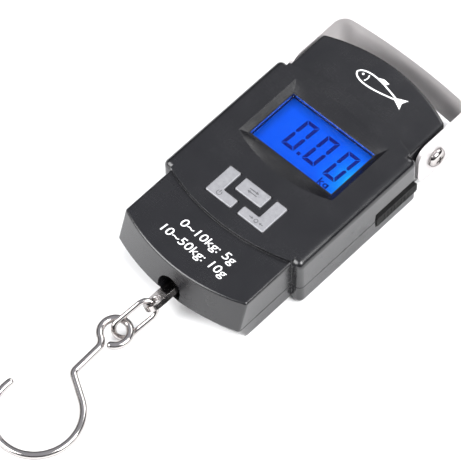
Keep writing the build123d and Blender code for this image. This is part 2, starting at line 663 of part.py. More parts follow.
# ================================================================ bail
with BuildPart() as handle_bail:
    for inset, mode in ((0.0, Mode.ADD), (bail_thick, Mode.SUBTRACT)):
        half = bail_half - inset
        foot_y = pivot_y if mode == Mode.ADD else pivot_y - 10
        with BuildSketch(Plane.XY.offset(pivot_z - bail_width / 2)) as strip:
            with BuildLine():
                Polyline((-half, bail_shoulder_y - inset), (-half, foot_y), (half, foot_y),
                         (half, bail_shoulder_y - inset))
                ThreePointArc((half, bail_shoulder_y - inset), (0, bail_crown_y - inset),
                              (-half, bail_shoulder_y - inset))
            make_face()
            fillet(strip.vertices().group_by(Axis.Y)[-1], radius=bail_corner_r - inset)
        extrude(amount=bail_width, mode=mode)
    for side in (-1, 1):
        with BuildSketch(Plane.YZ.offset(side * (bail_half - bail_thick))):
            with Locations((pivot_y, pivot_z)):
                RectangleRounded(2 * bail_foot_half, bail_width, bail_foot_r)
        extrude(amount=side * bail_thick)
    with BuildSketch(Plane.YZ.offset(-bail_half - 1)):
        with Locations((pivot_y, pivot_z)):
            Circle(shaft_r + run_fit)
    extrude(amount=2 * bail_half + 2, mode=Mode.SUBTRACT)
save(handle_bail, "handle_bail")

# ================================================================ link
lug = Vector(0, lug_y - 0.5, axis_z)                 # where the link's wire lies in the hole
hook_drop = asin((eye_centre.Z - hook_r - 0.02) / (bowl_r - bowl_y))   # the bowl lies on the table
hook_up = Vector(0, cos(hook_drop), sin(hook_drop))
toward_lug = Vector(lug.X - eye_centre.X, lug.Y - eye_centre.Y, 0).normalized()
ring_point = (eye_centre + Vector(toward_lug.X, 0, 0) * eye_r
              + hook_up * (toward_lug.Y * eye_r))
link_dir = (ring_point - lug).normalized()
side_dir = (Vector(1, 0, 0) - link_dir * link_dir.X).normalized()
front_dir = link_dir.cross(side_dir)
roll = radians(link_roll)
link_side = side_dir * cos(roll) + front_dir * sin(roll)
link_mid = lug + link_dir * (link_len / 2 - link_r)
link_plane = Plane(origin=link_mid, x_dir=link_side, z_dir=link_side.cross(link_dir))
with BuildPart() as chain_link:
    leg = link_len / 2 - link_r - link_half
    with BuildLine(link_plane) as link_path:
        Line((link_half, -leg), (link_half, leg))
        ThreePointArc((link_half, leg), (0, leg + link_half), (-link_half, leg))
        Line((-link_half, leg), (-link_half, -leg))
        ThreePointArc((-link_half, -leg), (0, -leg - link_half), (link_half, -leg))
    with BuildSketch(Plane(origin=link_path.line @ 0, z_dir=link_path.line % 0)):
        Circle(link_r)
    sweep(path=link_path.line)
save(chain_link, "chain_link")

# ================================================================ hook
hook_plane = Plane(origin=eye_centre, x_dir=(1, 0, 0), z_dir=(0, -hook_up.Z, hook_up.Y))
neck_y = -sqrt((eye_r + neck_r) ** 2 - neck_r ** 2)
neck_turn = degrees(atan2(-neck_y, neck_r))          # where the neck's bend meets the eye
eye_end_angle = -62


def on_circle(x, y, radius, angle):
    """Point at an angle, in degrees, on a circle in the hook's plane."""
    return (x + radius * cos(radians(angle)), y + radius * sin(radians(angle)))


eye_end = on_circle(0, 0, eye_r, eye_end_angle)
eye_join = on_circle(0, 0, eye_r, 180 + neck_turn)
bowl_join = on_circle(bowl_x, bowl_y, bowl_r, throat_turn)
throat_x = throat_r * (1 - cos(radians(throat_turn)))            # where the throat's bend runs out
throat_end = (throat_x, bowl_join[1] + (bowl_join[0] - throat_x) / tan(radians(throat_turn)))
throat_y = throat_end[1] + throat_r * sin(radians(throat_turn))
tip = on_circle(bowl_x, bowl_y, bowl_r, hook_tip_angle)
with BuildPart() as hook:
    with BuildLine(hook_plane) as hook_path:
        ThreePointArc(eye_end, (0, eye_r), eye_join)
        ThreePointArc(eye_join, on_circle(-neck_r, neck_y, neck_r, neck_turn / 2), (0, neck_y))
        Line((0, neck_y), (0, throat_y))
        ThreePointArc((0, throat_y), on_circle(throat_r, throat_y, throat_r, 180 + throat_turn / 2),
                      throat_end)
        Line(throat_end, bowl_join)
        ThreePointArc(bowl_join, on_circle(bowl_x, bowl_y, bowl_r, -50), tip)
    with BuildSketch(Plane(origin=hook_path.line @ 0, z_dir=hook_path.line % 0)):
        Circle(hook_r)
    sweep(path=hook_path.line)
    for end in (tip, eye_end):
        with Locations(hook_plane.from_local_coords((*end, 0))):
            Sphere(hook_r)
save(hook, "hook")

# ================================================================ tape
with BuildPart() as reel_axle:
    with Locations((reel_x, reel_y, wall - 0.2)):
        Cylinder(1.5, 11.0, align=(Align.CENTER, Align.CENTER, Align.MIN))
save(reel_axle, "reel_axle")

with BuildPart() as tape_reel:
    flange_r, hub_r, flange = 9.0, 3.4, 0.6
    with BuildSketch(Plane.XY.offset(blade_low_z - 0.2 - flange)):
        with Locations((reel_x, reel_y)):
            Circle(flange_r)
    extrude(amount=flange)
    with BuildSketch(Plane.XY.offset(blade_high_z + 0.2)):
        with Locations((reel_x, reel_y)):
            Circle(flange_r)
    extrude(amount=flange)
    with BuildSketch(Plane.XY.offset(blade_low_z - 0.3)):
        with Locations((reel_x, reel_y)):
            Circle(hub_r)
    extrude(amount=blade_high_z - blade_low_z + 0.6)
    with Locations((reel_x, reel_y, 0)):
        Cylinder(1.5 + run_fit, 30, mode=Mode.SUBTRACT)
save(tape_reel, "tape_reel")

with BuildPart() as tape_coil:
    with BuildSketch(Plane.XY.offset(blade_low_z)):
        with Locations((reel_x, reel_y)):
            Circle(coil_r)
            Circle(hub_r, mode=Mode.SUBTRACT)
    extrude(amount=blade_high_z - blade_low_z)
save(tape_coil, "tape_coil")

with BuildPart() as reel_spring:
    turns, spring_in, spring_out, ribbon = 5, 3.4, 8.4, 0.3
    step = (spring_out - spring_in) / (2 * turns)
    with BuildSketch(Plane.XY.offset(3.3)):
        with BuildLine(Plane.XY.offset(3.3)):
            start_x = reel_x + spring_in
            for i in range(2 * turns):
                span = 2 * spring_in + (2 * i + 1) * step
                side = -1 if i % 2 == 0 else 1
                end_x = start_x + side * span
                ThreePointArc((start_x, reel_y), ((start_x + end_x) / 2, reel_y - side * span / 2),
                              (end_x, reel_y))
                start_x = end_x
        trace(line_width=ribbon)
    extrude(amount=2.2)
save(reel_spring, "reel_spring")

with BuildPart() as tape_blade:
    with BuildSketch(Plane.XY.offset(blade_low_z)):
        with Locations((2.1, blade_y + blade_thick / 2)):
            Rectangle(52.2, blade_thick)
    extrude(amount=blade_high_z - blade_low_z)
save(tape_blade, "tape_blade")

with BuildPart() as tape_tab:
    with BuildSketch(Plane.YZ.offset(28.2)):
        with Locations(((tab_low_y + tab_high_y) / 2, (tab_low_z + tab_high_z) / 2)):
            RectangleRounded(tab_high_y - tab_low_y, tab_high_z - tab_low_z, 0.6)
    extrude(amount=2.2)
    for i in range(8):
        with BuildSketch(Plane.YZ.offset(30.2)):
            with Locations((tab_low_y + 3.5 + 1.6 * i, (tab_low_z + tab_high_z) / 2)):
                Rectangle(0.6, 2.6)
        extrude(amount=0.5, mode=Mode.SUBTRACT)
save(tape_tab, "tape_tab")
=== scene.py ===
"""A hand-held digital fish scale lying on its back on a pale table.

The hook is drawn out from its lower end and the bail lies in line with the housing.
"""
import math

import bmesh
import bpy
from mathutils import Matrix, Vector


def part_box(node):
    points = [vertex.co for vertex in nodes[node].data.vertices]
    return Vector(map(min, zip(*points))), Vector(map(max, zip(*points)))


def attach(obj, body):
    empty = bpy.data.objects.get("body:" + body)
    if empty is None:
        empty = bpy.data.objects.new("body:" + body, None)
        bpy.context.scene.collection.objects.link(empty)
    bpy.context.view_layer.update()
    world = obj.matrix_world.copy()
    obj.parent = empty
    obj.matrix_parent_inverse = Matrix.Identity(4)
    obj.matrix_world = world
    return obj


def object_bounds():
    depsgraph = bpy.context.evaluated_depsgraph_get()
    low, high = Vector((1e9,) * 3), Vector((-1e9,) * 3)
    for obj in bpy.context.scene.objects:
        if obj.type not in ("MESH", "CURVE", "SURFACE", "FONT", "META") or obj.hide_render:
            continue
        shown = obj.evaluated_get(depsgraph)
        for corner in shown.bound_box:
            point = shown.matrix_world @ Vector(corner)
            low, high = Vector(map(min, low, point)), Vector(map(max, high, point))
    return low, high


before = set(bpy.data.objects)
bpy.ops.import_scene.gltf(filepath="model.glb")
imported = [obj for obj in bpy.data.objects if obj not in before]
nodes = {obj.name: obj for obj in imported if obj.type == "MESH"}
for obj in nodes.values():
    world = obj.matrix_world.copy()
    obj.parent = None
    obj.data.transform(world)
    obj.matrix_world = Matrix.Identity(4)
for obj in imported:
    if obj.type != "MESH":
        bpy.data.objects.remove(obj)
cad_low, cad_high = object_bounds()
MM = 0.001


# ---------------------------------------------------------------- shader building
class Finish:
    """A Principled material whose details come from procedural nodes in the row frame."""

    def __init__(self, name, **constants):
        self.material = bpy.data.materials.new(name)
        self.material.use_nodes = True
        self.tree = self.material.node_tree
        self.tree.nodes.clear()
        out = self.add("ShaderNodeOutputMaterial")
        self.shader = self.add("ShaderNodeBsdfPrincipled")
        self.join(self.shader.outputs["BSDF"], out.inputs["Surface"])
        for key, value in constants.items():
            self.shader.inputs[key.replace("_", " ")].default_value = value
        self.place = self.add("ShaderNodeTexCoord").outputs["Object"]

    def add(self, kind, **settings):
        node = self.tree.nodes.new(kind)
        for key, value in settings.items():
            setattr(node, key, value)
        return node

    def join(self, source, target):
        self.tree.links.new(source, target)

    def put(self, socket, source):
        self.join(source, self.shader.inputs[socket])

    def stretch(self, x, y, z):
        node = self.add("ShaderNodeMapping")
        node.inputs["Scale"].default_value = (x, y, z)
        self.join(self.place, node.inputs["Vector"])
        return node.outputs["Vector"]

    def noise(self, scale, detail=2.0, rough=0.5, where=None):
        """Grey noise; scale is in features per metre."""
        node = self.add("ShaderNodeTexNoise")
        node.inputs["Scale"].default_value = scale
        node.inputs["Detail"].default_value = detail
        node.inputs["Roughness"].default_value = rough
        self.join(where or self.place, node.inputs["Vector"])
        return node.outputs["Fac"]

    def cells(self, scale):
        """Distance from the middle of a random cell; scale is in cells per metre."""
        node = self.add("ShaderNodeTexVoronoi")
        node.inputs["Scale"].default_value = scale
        self.join(self.place, node.inputs["Vector"])
        return node.outputs["Distance"]

    def remap(self, source, low, high, to_low=0.0, to_high=1.0):
        node = self.add("ShaderNodeMapRange")
        limits = {"From Min": low, "From Max": high, "To Min": to_low, "To Max": to_high}
        for key, value in limits.items():
            node.inputs[key].default_value = value
        self.join(source, node.inputs["Value"])
        return node.outputs["Result"]

    def maths(self, what, a, b=None):
        node = self.add("ShaderNodeMath", operation=what)
        for socket, value in zip(node.inputs, (a, b)):
            if value is None:
                continue
            if isinstance(value, (int, float)):
                socket.default_value = value
            else:
                self.join(value, socket)
        return node.outputs["Value"]

    def axis(self, name):
        node = self.add("ShaderNodeSeparateXYZ")
        self.join(self.place, node.inputs[0])
        return node.outputs[name]

    def ramp(self, source, *stops):
        """A colour ramp of (position, colour) stops."""
        node = self.add("ShaderNodeValToRGB")
        entries = node.color_ramp.elements
        while len(entries) < len(stops):
            entries.new(1.0)
        for entry, (position, colour) in zip(entries, stops):
            entry.position = position
            entry.color = (*colour, 1.0)
        self.join(source, node.inputs["Fac"])
        return node.outputs["Color"]

    def blend(self, fac, a, b, mode="MIX"):
        """Colour a turned into colour b by fac; either may be a socket or a colour."""
        node = self.add("ShaderNodeMix", data_type="RGBA", blend_type=mode)
        sockets = [s for s in node.inputs if s.type == "RGBA"]
        for socket, value in zip(sockets, (a, b)):
            if isinstance(value, tuple):
                socket.default_value = (*value, 1.0)
            else:
                self.join(value, socket)
        if isinstance(fac, (int, float)):
            node.inputs["Factor"].default_value = fac
        else:
            self.join(fac, node.inputs["Factor"])
        return next(s for s in node.outputs if s.type == "RGBA")

    def edges(self, radius):
        """1 along edges sharper than the radius can round, 0 on flat ground."""
        soft = self.add("ShaderNodeBevel", samples=4)
        soft.inputs["Radius"].default_value = radius
        flat = self.add("ShaderNodeNewGeometry")
        dot = self.add("ShaderNodeVectorMath", operation="DOT_PRODUCT")
        self.join(soft.outputs["Normal"], dot.inputs[0])
        self.join(flat.outputs["Normal"], dot.inputs[1])
        return self.remap(dot.outputs["Value"], 0.995, 0.85)

    def relief(self, height, distance, strength, soften=None):
        """Bump from a height, over edges rounded by the soften radius."""
        bump = self.add("ShaderNodeBump")
        bump.inputs["Distance"].default_value = distance
        bump.inputs["Strength"].default_value = strength
        self.join(height, bump.inputs["Height"])
        if soften:
            bevel = self.add("ShaderNodeBevel", samples=4)
            bevel.inputs["Radius"].default_value = soften
            self.join(bevel.outputs["Normal"], bump.inputs["Normal"])
        self.put("Normal", bump.outputs["Normal"])

    def scratches(self, along, across, cover):
        """Fine hairlines, 1 in the line: stretched noise cut to a thin band."""
        lines = self.noise(1.0, 3.0, 0.6, self.stretch(*along))
        more = self.noise(1.0, 3.0, 0.6, self.stretch(*across))
        band = [self.remap(self.maths("ABSOLUTE", self.maths("SUBTRACT", n, 0.5)), cover, 0.0)
                for n in (lines, more)]
        return self.maths("MAXIMUM", *band)


def glossy_plastic(name, dark, light, rough):
    """Moulded ABS: uneven pigment, smudges, orange peel, handling marks and rubbed edges."""
    f = Finish(name, Specular_IOR_Level=0.5, IOR=1.56)
    pigment = f.noise(90.0, 4.0)
    body = f.ramp(pigment, (0.3, dark), (0.7, light))
    edge = f.edges(0.35 * MM)
    worn = f.maths("MULTIPLY", edge, f.remap(f.noise(420.0, 4.0), 0.45, 0.7))
    f.put("Base Color", f.blend(f.maths("MULTIPLY", worn, 0.35), body, (0.10, 0.10, 0.105)))
    smudge = f.remap(f.noise(55.0, 5.0, 0.6), 0.35, 0.7, rough - 0.04, rough + 0.07)
    hair = f.scratches((60, 2600, 60), (3200, 90, 90), 0.006)
    f.put("Roughness", f.maths("ADD", smudge, f.maths("MULTIPLY", hair, 0.05)))
    peel = f.noise(1500.0, 2.0)
    grain = f.noise(9000.0, 2.0)
    height = f.maths("ADD", f.maths("MULTIPLY", peel, 0.6), f.maths("MULTIPLY", grain, 0.25))
    height = f.maths("SUBTRACT", height, f.maths("MULTIPLY", hair, 0.15))
    f.relief(height, 0.004 * MM, 0.8, soften=0.25 * MM)
    return f.material


PITTED = (0.5, 0.49, 0.47)


def bright_metal(name, tone, rough, along=(40, 4200, 4200), grain=0.25, edge=0.45, metallic=1.0):
    """Plated or polished metal: polishing lines, smudges and pits; edge is its grey at grazing angles."""
    f = Finish(name, Metallic=metallic, Specular_Tint=(edge, edge, edge, 1.0))
    cloud = f.noise(160.0, 4.0)
    shade = f.blend(f.remap(cloud, 0.3, 0.75, 0.0, 0.3), tone, tuple(0.86 * c for c in tone))
    pits = f.remap(f.cells(1700.0), 0.06, 0.0)
    pitted = f.maths("MULTIPLY", pits, f.remap(f.noise(300.0, 2.0), 0.55, 0.65))
    f.put("Base Color", f.blend(f.maths("MULTIPLY", pitted, 0.7), shade, PITTED))
    lines = f.noise(1.0, 4.0, 0.6, f.stretch(*along))
    dull = f.remap(f.noise(220.0, 5.0, 0.65), 0.35, 0.75, rough, rough + 0.10)
    f.put("Roughness", f.maths("ADD", dull, f.maths("MULTIPLY", lines, 0.05)))
    waves = f.maths("MULTIPLY", f.noise(700.0, 2.0), 0.5)
    f.relief(f.maths("ADD", f.maths("MULTIPLY", lines, grain), waves), 0.003 * MM, 0.6, soften=0.12 * MM)
    return f.material


def painted_silver():
    """Satin silver paint on the keys: metal flake, uneven thumb polish, rubbed rims."""
    f = Finish("silver_paint", Metallic=0.35, Specular_IOR_Level=0.5)
    flake = f.remap(f.cells(7500.0), 0.0, 0.6)
    tone = f.ramp(flake, (0.0, (0.36, 0.36, 0.375)), (1.0, (0.24, 0.24, 0.255)))
    tone = f.blend(f.remap(f.noise(650.0, 3.0), 0.35, 0.7, 0.0, 0.5), tone, (0.36, 0.36, 0.375))
    worn = f.maths("MULTIPLY", f.edges(0.2 * MM), f.remap(f.noise(900.0, 3.0), 0.45, 0.6))
    f.put("Base Color", f.blend(f.maths("MULTIPLY", worn, 0.6), tone, (0.30, 0.30, 0.31)))
    f.put("Roughness", f.remap(f.noise(500.0, 4.0), 0.3, 0.7, 0.34, 0.48))
    f.relief(f.maths("ADD", flake, f.noise(2600.0, 2.0)), 0.004 * MM, 0.5, soften=0.15 * MM)
    return f.material


def lit_display():
    """The glass cell over its light guide: deep blue, brighter by the lamp at the right end."""
    f = Finish("lcd_blue", Roughness=0.3, Specular_IOR_Level=0.1)
    low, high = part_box("lcd_glass")
    lamp = Vector((high.x, (low.y + high.y) / 2, high.z))
    # the lamp's glow fades with the distance from it
    away = f.add("ShaderNodeVectorMath", operation="DISTANCE")
    f.join(f.place, away.inputs[0])
    away.inputs[1].default_value = lamp
    reach = f.remap(away.outputs["Value"], 2 * MM, 17 * MM, 1.0, 0.0)
    near = f.maths("POWER", reach, 1.6)
    mottle = f.remap(f.noise(240.0, 3.0), 0.3, 0.7, -0.05, 0.05)
    glow = f.ramp(f.maths("ADD", near, mottle), (0.0, (0.001, 0.075, 0.78)), (0.35, (0.001, 0.13, 0.86)),
                  (0.75, (0.004, 0.30, 0.90)), (1.0, (0.03, 0.60, 0.92)))
    dots = f.remap(f.cells(3600.0), 0.0, 0.55, 1.0, 0.95)
    grid = f.ramp(dots, (0.0, (0, 0, 0)), (1.0, (1, 1, 1)))
    f.put("Emission Color", f.blend(1.0, glow, grid, "MULTIPLY"))
    # painted shadow of the frame: the panel's glow is dimmed along the window's left and upper edges
    pane_low, pane_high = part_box("display_window")
    shade_x = f.remap(f.axis("X"), pane_low.x, pane_low.x + 3 * MM, 0.45, 1.0)
    shade_y = f.remap(f.axis("Y"), pane_high.y, pane_high.y - 3.5 * MM, 0.45, 1.0)
    f.put("Emission Strength", f.maths("MULTIPLY", shade_x, shade_y))
    f.put("Base Color", f.ramp(f.noise(500.0, 2.0), (0.3, (0.0, 0.008, 0.05)), (0.7, (0.0, 0.012, 0.07))))
    f.relief(f.noise(4000.0, 1.0), 0.001 * MM, 0.3)
    return f.material


def clear_plastic():
    """The pressed-in window: clear acrylic with a faint orange peel and a few wipe marks."""
    f = Finish("clear_acrylic", Transmission_Weight=1.0, IOR=1.12, Base_Color=(0.96, 0.97, 0.98, 1.0))
    hair = f.scratches((90, 3800, 90), (4200, 120, 120), 0.004)
    wiped = f.remap(f.noise(90.0, 3.0), 0.3, 0.7, 0.0, 0.02)
    f.put("Roughness", f.maths("ADD", wiped, f.maths("MULTIPLY", hair, 0.05)))
    f.relief(f.noise(500.0, 1.0), 0.001 * MM, 0.4)
    return f.material


def plain(name, dark, light, scale, rough, bump=0.01, fine=6000.0, **constants):
    """A small part's finish: two-tone mottle, uneven gloss and a fine grain."""
    f = Finish(name, **constants)
    f.put("Base Color", f.ramp(f.noise(scale, 4.0), (0.3, dark), (0.7, light)))
    f.put("Roughness", f.remap(f.noise(2.3 * scale, 3.0), 0.3, 0.7, rough - 0.06, rough + 0.08))
    f.relief(f.noise(fine, 3.0), bump * MM, 0.7)
    return f.material


def circuit_board():
    """Green solder mask over a woven board, with copper tracks showing through."""
    f = Finish("solder_mask", Specular_IOR_Level=0.5)
    warp, weft = (f.noise(1.0, 1.0, 0.5, f.stretch(*along)) for along in ((2500, 60, 60), (60, 2500, 60)))
    weave = f.maths("MULTIPLY", warp, weft)
    mask = f.ramp(weave, (0.1, (0.004, 0.055, 0.016)), (0.45, (0.008, 0.09, 0.028)))
    tracks = f.add("ShaderNodeTexBrick", offset=0.5, squash=1.0)
    for key, value in (("Scale", 90.0), ("Mortar Size", 0.012),
                       ("Brick Width", 0.45), ("Row Height", 0.12)):
        tracks.inputs[key].default_value = value
    f.join(f.place, tracks.inputs["Vector"])
    f.put("Base Color", f.blend(tracks.outputs["Fac"], mask, (0.035, 0.17, 0.05)))
    f.put("Roughness", f.remap(f.noise(700.0, 3.0), 0.3, 0.7, 0.28, 0.42))
    f.relief(f.maths("ADD", tracks.outputs["Fac"], f.noise(5000.0, 1.0)), 0.02 * MM, 0.6)
    return f.material


def battery_jacket():
    """A shrink-wrapped cell: black jacket, a gold band at one end and bare steel at its tip."""
    f = Finish("battery_wrap", Specular_IOR_Level=0.6)
    y = f.axis("Y")
    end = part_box("left_battery")[1].y
    band = f.maths("MULTIPLY", f.maths("GREATER_THAN", y, end - 13 * MM),
                   f.maths("LESS_THAN", y, end - 1.6 * MM))
    tip = f.maths("GREATER_THAN", y, end - 1.2 * MM)
    scuff = f.noise(300.0, 5.0, 0.65)
    wrap = f.ramp(scuff, (0.35, (0.012, 0.012, 0.014)), (0.75, (0.03, 0.03, 0.034)))
    gold = f.ramp(scuff, (0.35, (0.48, 0.20, 0.05)), (0.75, (0.58, 0.27, 0.08)))
    tone = f.blend(band, wrap, gold)
    f.put("Base Color", f.blend(tip, tone, (0.62, 0.61, 0.58)))
    f.put("Metallic", f.maths("MAXIMUM", tip, f.maths("MULTIPLY", band, 0.8)))
    f.put("Roughness", f.remap(scuff, 0.3, 0.75, 0.22, 0.42))
    f.relief(f.noise(1800.0, 3.0), 0.008 * MM, 0.6)
    return f.material


def printed_tape():
    """Enamelled tape: a millimetre tick at every millimetre, longer at every fifth and tenth."""
    f = Finish("tape_enamel", Specular_IOR_Level=0.5)
    x, z = f.axis("X"), f.axis("Z")
    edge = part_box("tape_blade")[1].z
    depth = f.maths("SUBTRACT", edge, z)

    def ticks(pitch, width, length):
        near = f.maths("PINGPONG", x, pitch / 2)
        return f.maths("MULTIPLY", f.maths("LESS_THAN", near, width / 2),
                       f.maths("LESS_THAN", depth, length))

    short = f.maths("MAXIMUM", ticks(1 * MM, 0.16 * MM, 1.3 * MM), ticks(5 * MM, 0.2 * MM, 2.0 * MM))
    marks = f.maths("MAXIMUM", short, ticks(10 * MM, 0.26 * MM, 3.2 * MM))
    enamel = f.ramp(f.noise(260.0, 4.0), (0.3, (0.80, 0.79, 0.72)), (0.7, (0.87, 0.86, 0.81)))
    f.put("Base Color", f.blend(marks, enamel, (0.02, 0.02, 0.022)))
    f.put("Roughness", f.remap(f.noise(600.0, 3.0), 0.3, 0.7, 0.28, 0.42))
    f.relief(f.noise(2500.0, 2.0), 0.004 * MM, 0.5)
    return f.material


def white_ink():
    """Pad-printed ink: slightly uneven cover with a dry, grainy surface."""
    f = Finish("white_ink", Specular_IOR_Level=0.35)
    f.put("Base Color", f.ramp(f.noise(2600.0, 4.0), (0.3, (0.74, 0.74, 0.75)), (0.6, (0.90, 0.90, 0.91))))
    f.put("Roughness", f.remap(f.noise(1800.0, 3.0), 0.3, 0.7, 0.45, 0.62))
    f.relief(f.noise(7000.0, 3.0), 0.004 * MM, 0.7)
    return f.material


def segment_ink():
    """The switched-on liquid crystal: deep navy that lets a little backlight through."""
    f = Finish("lcd_segment", Specular_IOR_Level=0.1, Emission_Strength=1.0)
    mottle = f.noise(900.0, 3.0)
    f.put("Base Color", f.ramp(mottle, (0.3, (0.001, 0.002, 0.02)), (0.7, (0.002, 0.004, 0.03))))
    f.put("Emission Color", f.ramp(mottle, (0.3, (0.0, 0.004, 0.13)), (0.7, (0.0, 0.006, 0.17))))
    f.put("Roughness", f.remap(f.noise(1500.0, 2.0), 0.3, 0.7, 0.2, 0.3))
    f.relief(f.noise(5000.0, 1.0), 0.001 * MM, 0.3)
    return f.material


finishes = {
    "black_plastic": glossy_plastic("black_abs", (0.0055, 0.0055, 0.0068), (0.0080, 0.0080, 0.0095), 0.22),
    "chrome_plate": bright_metal("chrome", (0.50, 0.475, 0.465), 0.10, edge=0.25),
    "zinc_steel": bright_metal("zinc", (0.52, 0.53, 0.55), 0.28, grain=0.5),
    "spring_steel": bright_metal("spring", (0.60, 0.59, 0.57), 0.22, grain=0.4),
    "cell_aluminium": bright_metal("milled_aluminium", (0.72, 0.73, 0.74), 0.30,
                                   along=(3500, 60, 60), grain=0.8),
    "silver_keys": painted_silver(),
    "display_blue": lit_display(),
    "clear_lens": clear_plastic(),
    "board_green": circuit_board(),
    "battery_jacket": battery_jacket(),
    "tape_white": printed_tape(),
    "light_guide": plain("light_guide", (0.62, 0.66, 0.72), (0.74, 0.77, 0.82), 200, 0.22, 0.004),
    "strip_rubber": plain("zebra_rubber", (0.30, 0.12, 0.14), (0.45, 0.20, 0.22), 900, 0.7),
    "black_resin": plain("potting_resin", (0.006, 0.006, 0.007), (0.014, 0.014, 0.015), 500, 0.2, 0.03, 1500),
    "switch_black": plain("switch_plastic", (0.010, 0.010, 0.011), (0.022, 0.022, 0.024), 700, 0.5),
    "gauge_foil": plain("gauge_film", (0.52, 0.30, 0.10), (0.66, 0.42, 0.17), 1500, 0.35, 0.006),
    "cable_jacket": plain("cable_sleeve", (0.40, 0.018, 0.014), (0.52, 0.03, 0.022), 500, 0.45),
    "reel_plastic": plain("reel_plastic", (0.66, 0.66, 0.63), (0.76, 0.76, 0.73), 260, 0.4),
    # the tab's near-black matte finish is partly painted shade: its darkness stands in for the shade inside
    # the side slot
    "tab_grey": plain("tab_matte_painted_slot_shade", (0.006, 0.006, 0.006), (0.012, 0.012, 0.012), 300, 0.8, 0.03,
                      Specular_IOR_Level=0.25),
}
for node in nodes.values():
    for slot in node.material_slots:
        slot.material = finishes[slot.material.name.split(".")[0]]
# the bail's strap has a paler, satin finish of its own
satin = bright_metal("satin_chrome", (0.60, 0.575, 0.575), 0.34, grain=0.4, metallic=0.25)
for slot in nodes["handle_bail"].material_slots:
    slot.material = satin
nodes["display_window"].visible_shadow = False      # lamps shine through the window

# ---------------------------------------------------------------- printed and displayed marks
ink, segment_tone = white_ink(), segment_ink()


def plate(name, outlines, low_z, high_z, material, slot, body):
    """One piece of flat closed prisms, each from an outline of (x, y) points in millimetres."""
    mesh = bmesh.new()
    for outline in outlines:
        rings = [[mesh.verts.new((x * MM, y * MM, z)) for x, y in outline] for z in (low_z, high_z)]
        mesh.faces.new(reversed(rings[0]))
        mesh.faces.new(rings[1])
        for i in range(len(outline)):
            j = (i + 1) % len(outline)
            mesh.faces.new((rings[0][i], rings[0][j], rings[1][j], rings[1][i]))
    bmesh.ops.recalc_face_normals(mesh, faces=mesh.faces)
    bmesh.ops.triangulate(mesh, faces=mesh.faces)
    data = bpy.data.meshes.new(name)
    mesh.to_mesh(data)
    mesh.free()
    data.materials.append(material)
    piece = bpy.data.objects.new(name, data)
    bpy.context.scene.collection.objects.link(piece)
    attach(piece, body)


def arc(centre, inner, outer, start, end, steps):
    """Outline of a ring sector, angles in degrees."""
    cx, cy = centre
    turn = [math.radians(start + (end - start) * i / steps) for i in range(steps + 1)]
    return ([(cx + outer * math.cos(a), cy + outer * math.sin(a)) for a in turn]
            + [(cx + inner * math.cos(a), cy + inner * math.sin(a)) for a in reversed(turn)])


def disc(centre, radius, steps=24):
    cx, cy = centre
    return [(cx + radius * math.cos(math.tau * i / steps), cy + radius * math.sin(math.tau * i / steps))
            for i in range(steps)]


def bar(a, b, width):
    """Outline of a straight stroke from a to b."""
    run = Vector((b[0] - a[0], b[1] - a[1])).normalized() * width / 2
    side = Vector((-run.y, run.x))
    return [(p[0] + s * side.x, p[1] + s * side.y) for p, s in ((a, 1), (a, -1), (b, -1), (b, 1))]


CAPITAL = 0.69              # height of a capital in the built-in font, as a share of its size


def words(name, text, centre, height, face_z, lean, bold, width):
    """A printed line of numbers and units, centred, fitted to a height of capitals and a width in mm."""
    curve = bpy.data.curves.new(name, "FONT")
    curve.body = text
    curve.size = height * MM / CAPITAL
    curve.shear = lean
    curve.offset = bold * MM
    curve.extrude = 0.015 * MM
    curve.align_x, curve.align_y = "CENTER", "CENTER"
    curve.resolution_u = 4
    holder = bpy.data.objects.new(name, curve)
    bpy.context.scene.collection.objects.link(holder)
    bpy.context.view_layer.update()
    data = bpy.data.meshes.new_from_object(holder.evaluated_get(bpy.context.evaluated_depsgraph_get()))
    bpy.data.objects.remove(holder)
    bpy.data.curves.remove(curve)
    xs = [v.co.x for v in data.vertices]
    squeeze = width * MM / (max(xs) - min(xs))
    data.transform(Matrix.Translation((centre[0] * MM, centre[1] * MM, face_z + 0.01 * MM))
                   @ Matrix.Diagonal((squeeze, 1, 1, 1)))
    tidy = bmesh.new()
    tidy.from_mesh(data)
    bmesh.ops.remove_doubles(tidy, verts=tidy.verts, dist=1e-7)
    bmesh.ops.recalc_face_normals(tidy, faces=tidy.faces)
    tidy.to_mesh(data)
    tidy.free()
    data.name = name
    data.materials.clear()
    data.materials.append(ink)
    piece = bpy.data.objects.new(name, data)
    bpy.context.scene.collection.objects.link(piece)
    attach(piece, "housing")


# Liquid-crystal digits: "0.00" with its unit under the last digit
DIGIT_WIDE, DIGIT_HIGH, STROKE, CUT, SLANT = 5.3, 12.3, 1.25, 0.2, math.tan(math.radians(3.0))
DIGIT_LOW_Y = 8.5
DIGIT_X = (-6.0, 2.95, 11.9)
glass_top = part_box("lcd_glass")[1].z
shell_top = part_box("front_shell")[1].z


def zero(centre_x):
    """The six lit segments of a 0, with mitred ends."""
    w, h, s, c = DIGIT_WIDE / 2, DIGIT_HIGH / 2, STROKE, CUT
    level = [(-w + c, h), (w - c, h), (w - s - c, h - s), (-w + s + c, h - s)]
    upright = [(w, h - c), (w, c + 0.3), (w - s / 2, c), (w - s, c + s / 2), (w - s, h - s - c)]
    shapes = [level, [(x, -y) for x, y in level]]
    shapes += [[(i * x, j * y) for x, y in upright] for i in (1, -1) for j in (1, -1)]
    return [[(centre_x + x + SLANT * y, DIGIT_LOW_Y + h + y) for x, y in shape] for shape in shapes]


